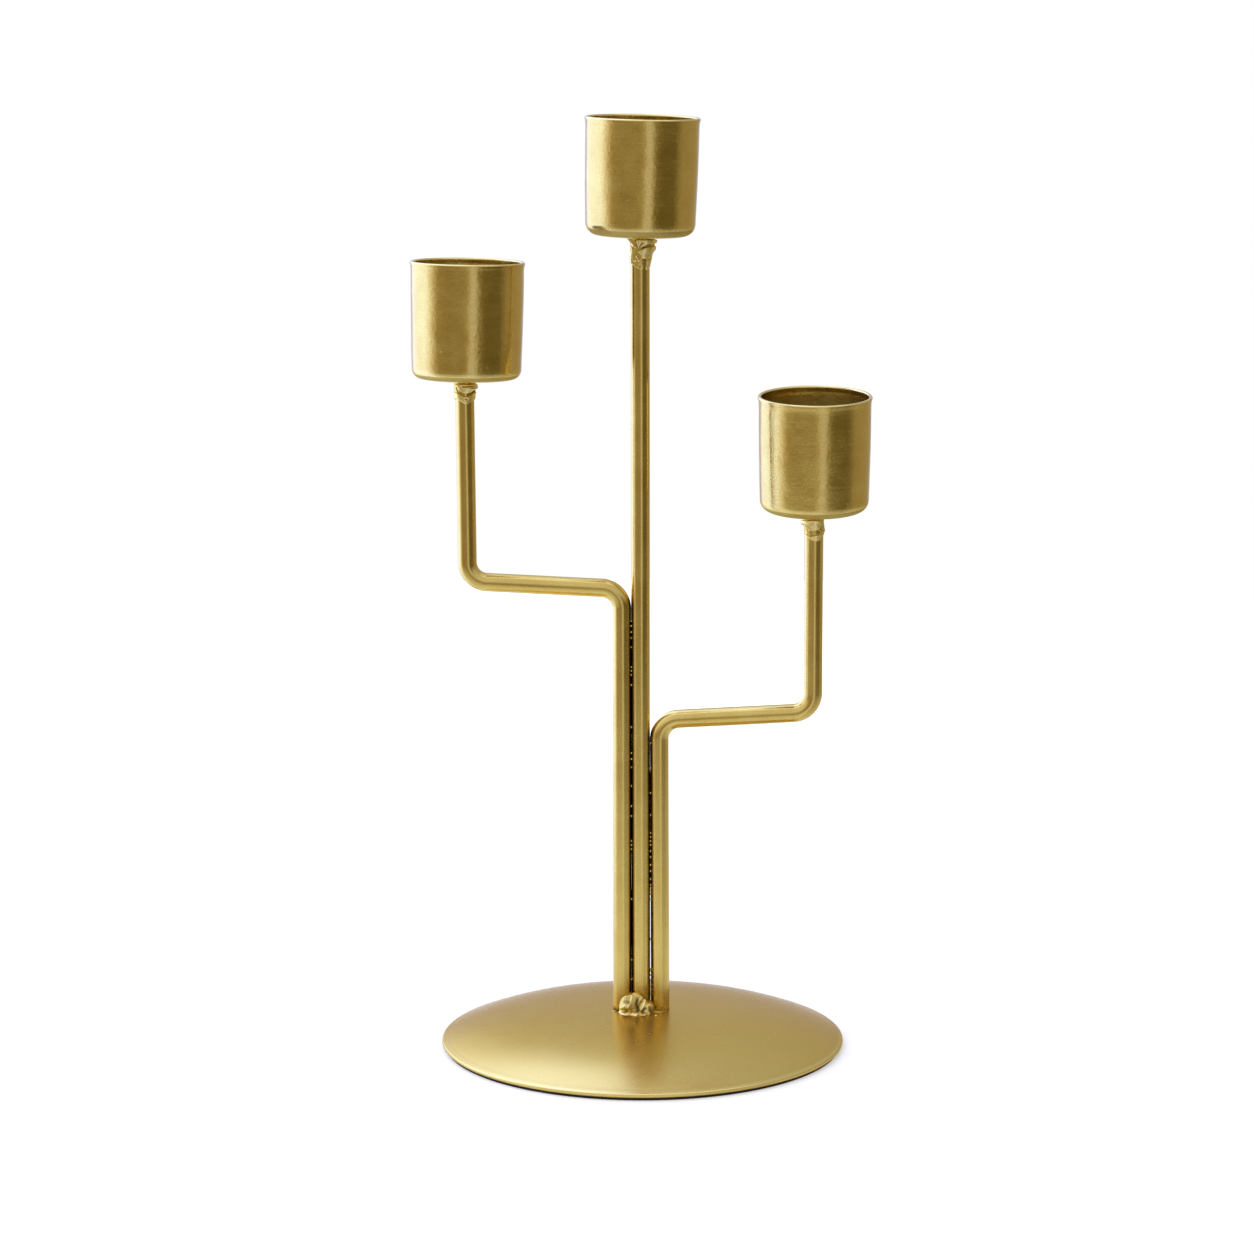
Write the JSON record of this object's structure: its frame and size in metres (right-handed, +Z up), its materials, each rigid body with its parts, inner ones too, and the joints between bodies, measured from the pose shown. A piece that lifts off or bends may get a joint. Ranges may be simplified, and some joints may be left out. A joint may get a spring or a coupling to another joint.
{
  "type": "table candelabra",
  "caption": "Gold table candelabra with pressed candle cups on bent rods at stepped heights, welded to a round domed base.",
  "frame": {"origin": "middle of the round base on the table surface, on the underside of the foam pad", "axes": "+Z up, +X to the right and +Y away from the viewer, seen from the pictured front"},
  "size_m": [0.1121, 0.1, 0.2301],
  "materials": {
    "base_gold": "satin gold plating under clear lacquer on pressed steel",
    "rod_gold": "satin gold plating under clear lacquer on drawn steel rod",
    "cup_gold": "satin gold plating under clear lacquer on pressed steel",
    "weld_gold": "gold plating over rough glossy weld metal",
    "pad_black": "matt closed cell foam"
  },
  "bodies": {
    "root": {"base_plate": "base_gold", "base_pad": "pad_black", "centre_rod": "rod_gold", "left_rod": "rod_gold", "right_rod": "rod_gold", "centre_cup": "cup_gold", "left_cup": "cup_gold", "right_cup": "cup_gold", "base_weld": "weld_gold", "centre_cup_weld": "weld_gold", "left_cup_weld": "weld_gold", "right_cup_weld": "weld_gold", "left_upper_stitch": "weld_gold", "left_lower_stitch": "weld_gold", "right_stitch": "weld_gold"}
  },
  "joints": []
}
